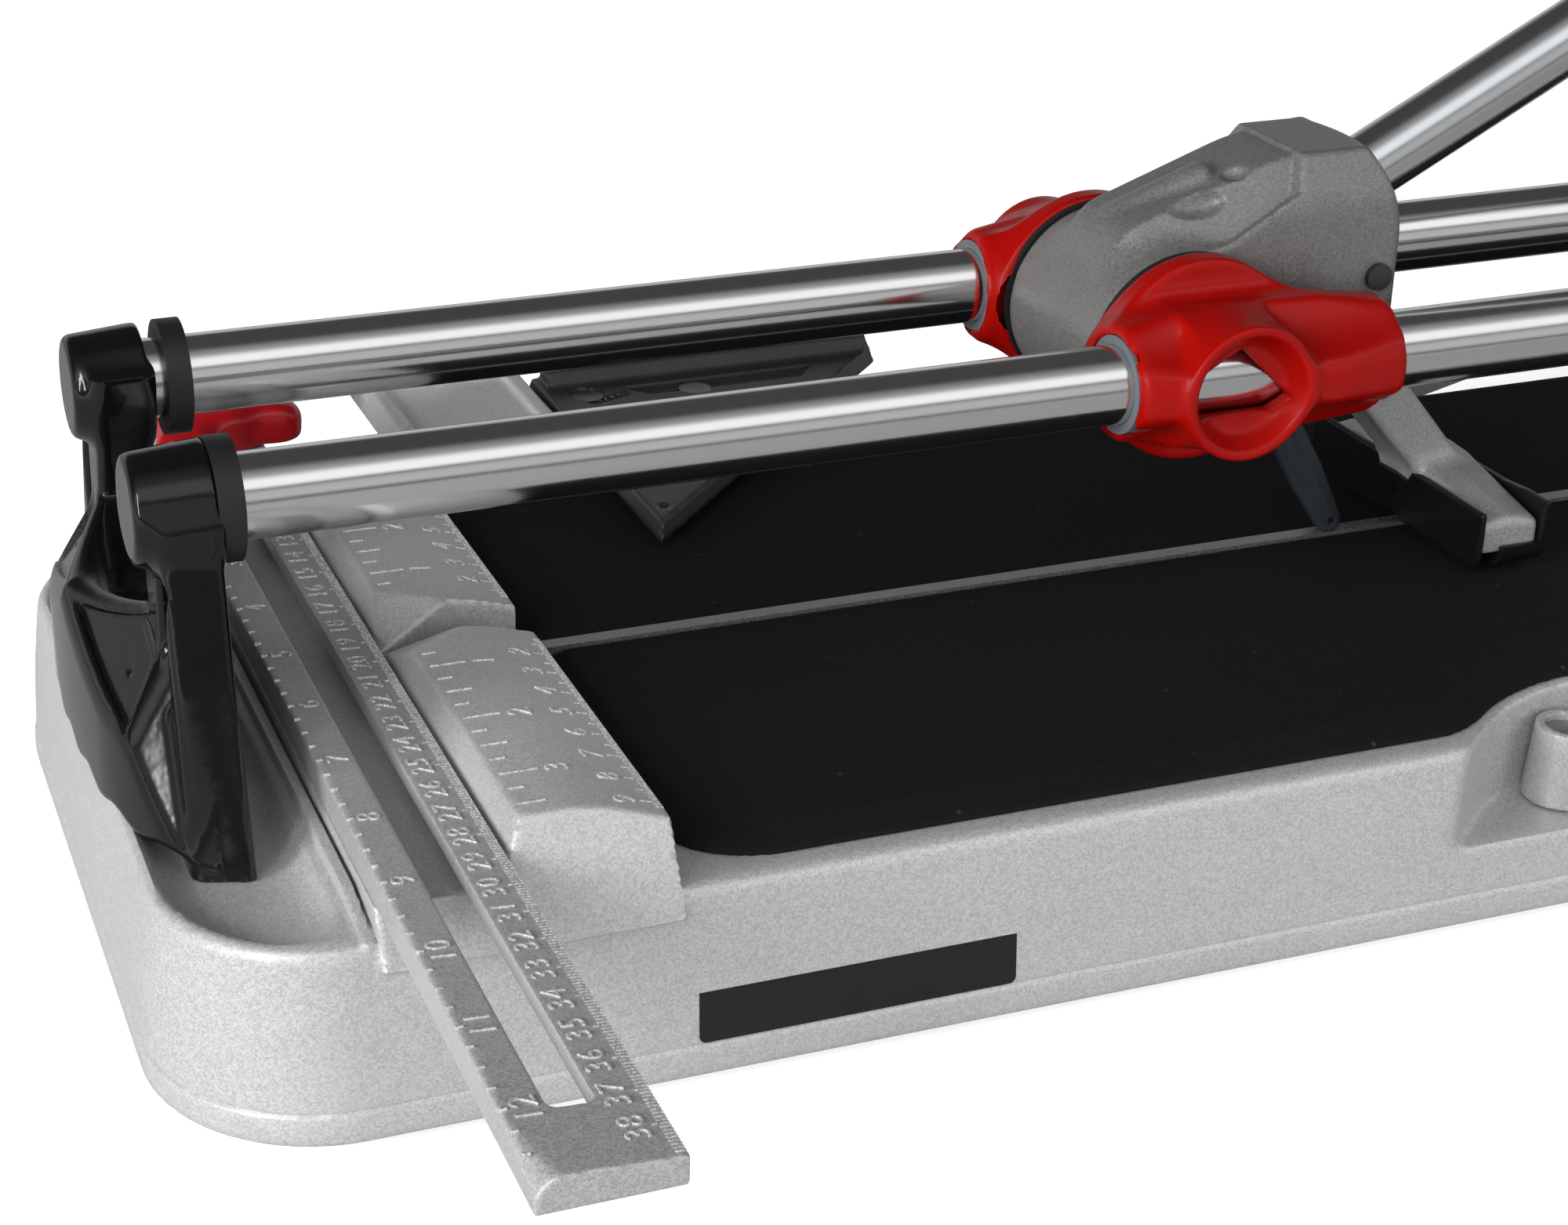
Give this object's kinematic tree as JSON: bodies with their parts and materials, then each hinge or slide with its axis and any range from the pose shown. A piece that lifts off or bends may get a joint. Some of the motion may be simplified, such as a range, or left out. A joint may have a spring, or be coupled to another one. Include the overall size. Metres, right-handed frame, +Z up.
{
  "type": "tile cutter",
  "caption": "Manual rail tile cutter with a sliding scoring and breaking head on two chromed rails, a ruler with a set square stop and swing-out side arms.",
  "frame": {"origin": "on the surface it stands on, under the middle of the base's length and on the cutting line", "axes": "+X along the rails away from the measuring fence, +Y across the cutting line to the far side, +Z up"},
  "size_m": [0.86, 0.399, 0.2957],
  "materials": {
    "cast_alloy": "shot-blasted die casting, satin",
    "fence_alloy": "ground and blasted, embossed scales",
    "pad_foam": "fine matt foam rubber",
    "label_black": "satin film",
    "rubber_black": "matt",
    "chrome_rail": "polished hard chrome",
    "support_black": "gloss black enamel on a die casting",
    "screw_steel": "zinc plated",
    "slider_red": "gloss red powder coat",
    "bush_grey": "moulded bearing plastic",
    "head_alloy": "sparkling grey blasted casting",
    "gasket_black": "semi-matt",
    "tube_chrome": "chromed tube",
    "grip_rubber": "moulded grip, matt",
    "holder_steel": "blued steel",
    "carbide": "ground tungsten carbide",
    "arm_alloy": "blasted casting",
    "shoe_black": "glass filled nylon",
    "square_black": "semi-gloss moulding",
    "knob_red": "gloss moulding"
  },
  "bodies": {
    "base": {"base_casting": "cast_alloy", "breaking_strip": "fence_alloy", "pad_near": "pad_foam", "pad_far": "pad_foam", "blank_label": "label_black", "rubber_feet": "rubber_black", "rail_near": "chrome_rail", "rail_far": "chrome_rail", "front_support": "support_black", "rear_support": "support_black", "support_screws": "screw_steel", "buffer_rings": "rubber_black", "arm_pivot_screws": "screw_steel"},
    "carriage": {"slider_near": "slider_red", "slider_far": "slider_red", "slide_bushes": "bush_grey", "head_axle": "screw_steel", "gasket_rings": "gasket_black"},
    "head": {"head_casting": "head_alloy", "holder_screw": "screw_steel", "breaker_rivet": "screw_steel", "handle_tube": "tube_chrome", "handle_grip": "grip_rubber", "wheel_holder": "holder_steel", "wheel_pin": "screw_steel"},
    "wheel": {"scoring_wheel": "carbide"},
    "breaker": {"breaker_arm": "arm_alloy", "breaker_shoe": "shoe_black", "shoe_pin": "screw_steel"},
    "ruler": {"ruler_bar": "fence_alloy"},
    "lateral_stop": {"stop_carrier": "fence_alloy", "set_square": "square_black", "square_screws": "screw_steel"},
    "knob": {"stop_knob": "knob_red", "stop_stud": "screw_steel"},
    "arm_near": {"side_arm_near": "arm_alloy", "arm_pad_near": "rubber_black"},
    "arm_far": {"side_arm_far": "arm_alloy", "arm_pad_far": "rubber_black"}
  },
  "joints": [
    {"name": "rail_slide", "type": "slide", "parent": "base", "child": "carriage", "axis": [1, 0, 0], "range_m": [-0.165, 0.405]},
    {"name": "head_tilt", "type": "hinge", "parent": "carriage", "child": "head", "pos_m": [-0.1755, 0, 0.1123], "axis": [0, -1, 0], "range_deg": [0, 15]},
    {"name": "wheel_spin", "type": "hinge", "parent": "head", "child": "wheel", "pos_m": [-0.1175, 0, 0.05395], "axis": [0, 1, 0], "continuous": true},
    {"name": "breaker_swing", "type": "hinge", "parent": "head", "child": "breaker", "pos_m": [-0.1252, 0, 0.1245], "axis": [0, -1, 0], "range_deg": [0, 8]},
    {"name": "ruler_slide", "type": "slide", "parent": "base", "child": "ruler", "axis": [0, 1, 0], "range_m": [-0.008, 0.11]},
    {"name": "stop_slide", "type": "slide", "parent": "ruler", "child": "lateral_stop", "axis": [0, 1, 0], "range_m": [0, 0.045]},
    {"name": "knob_turn", "type": "hinge", "parent": "lateral_stop", "child": "knob", "pos_m": [-0.3755, 0.115, 0.0695], "axis": [0, 0, 1], "continuous": true},
    {"name": "arm_near_swing", "type": "hinge", "parent": "base", "child": "arm_near", "pos_m": [-0.112, -0.092, 0.031], "axis": [0, 0, -1], "range_deg": [0, 90]},
    {"name": "arm_far_swing", "type": "hinge", "parent": "base", "child": "arm_far", "pos_m": [-0.112, 0.092, 0.031], "axis": [0, 0, 1], "range_deg": [-20.5, 69]}
  ]
}
